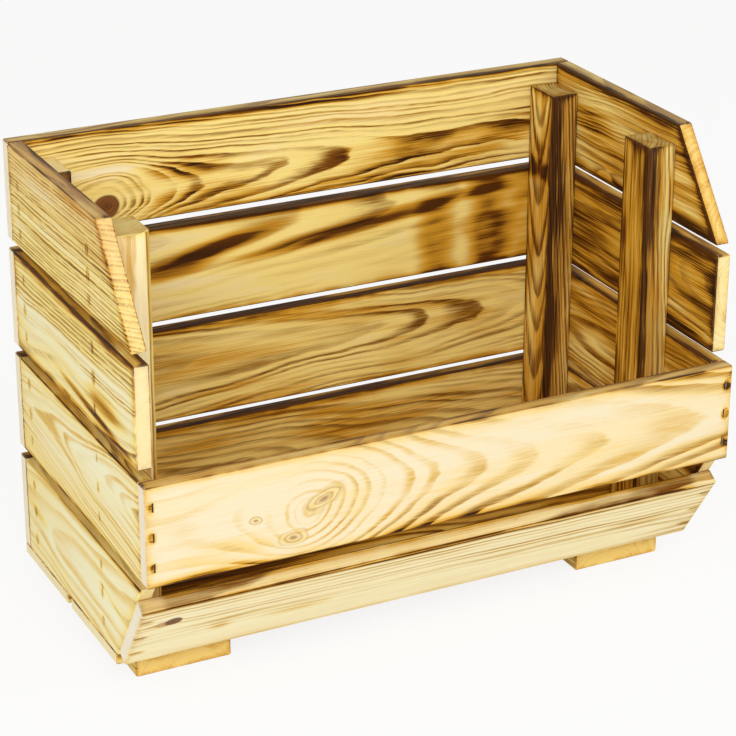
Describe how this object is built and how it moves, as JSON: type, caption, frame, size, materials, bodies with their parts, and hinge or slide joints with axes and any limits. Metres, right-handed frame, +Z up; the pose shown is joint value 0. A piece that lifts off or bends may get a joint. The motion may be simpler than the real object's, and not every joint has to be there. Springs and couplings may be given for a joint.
{
  "type": "vegetable crate",
  "caption": "Open stacking crate of scorched softwood slats on corner posts, with a scoop front, a slanted toe board and two skids, for keeping vegetables.",
  "frame": {"origin": "on the ground, under the middle of the crate's outer width and depth", "axes": "+X to the right along the front board, +Y from the open front to the back, +Z up"},
  "size_m": [0.4, 0.222, 0.2995],
  "materials": {
    "slat_wood": "sawn softwood, lightly flame-scorched outside, darker inside",
    "back_wood": "sawn softwood, strongly flame-scorched inside",
    "front_wood": "sawn softwood, golden scorch along knots and edges",
    "toe_wood": "sawn softwood, pale, one dark knot",
    "post_wood": "sawn softwood, scorched",
    "floor_wood": "sawn softwood, scorched on top",
    "skid_wood": "sawn softwood, plain",
    "staple_wire": "galvanised wire, darkened by the flame"
  },
  "bodies": {
    "root": {"left_slat_bottom": "slat_wood", "left_slat_lower": "slat_wood", "left_slat_upper": "slat_wood", "left_slat_top": "slat_wood", "right_slat_bottom": "slat_wood", "right_slat_lower": "slat_wood", "right_slat_upper": "slat_wood", "right_slat_top": "slat_wood", "back_board_bottom": "back_wood", "back_board_lower": "back_wood", "back_board_upper": "back_wood", "back_board_top": "back_wood", "front_board": "front_wood", "toe_board": "toe_wood", "post_front_left": "post_wood", "post_front_right": "post_wood", "post_rear_left": "post_wood", "post_rear_right": "post_wood", "floor_board_front": "floor_wood", "floor_board_rear": "floor_wood", "skid_left": "skid_wood", "skid_right": "skid_wood", "staples_left": "staple_wire", "staples_right": "staple_wire", "staples_back": "staple_wire", "staples_front": "staple_wire", "staples_toe": "staple_wire", "staples_skids": "staple_wire", "staples_feet": "staple_wire", "staples_sill": "staple_wire"}
  },
  "joints": []
}
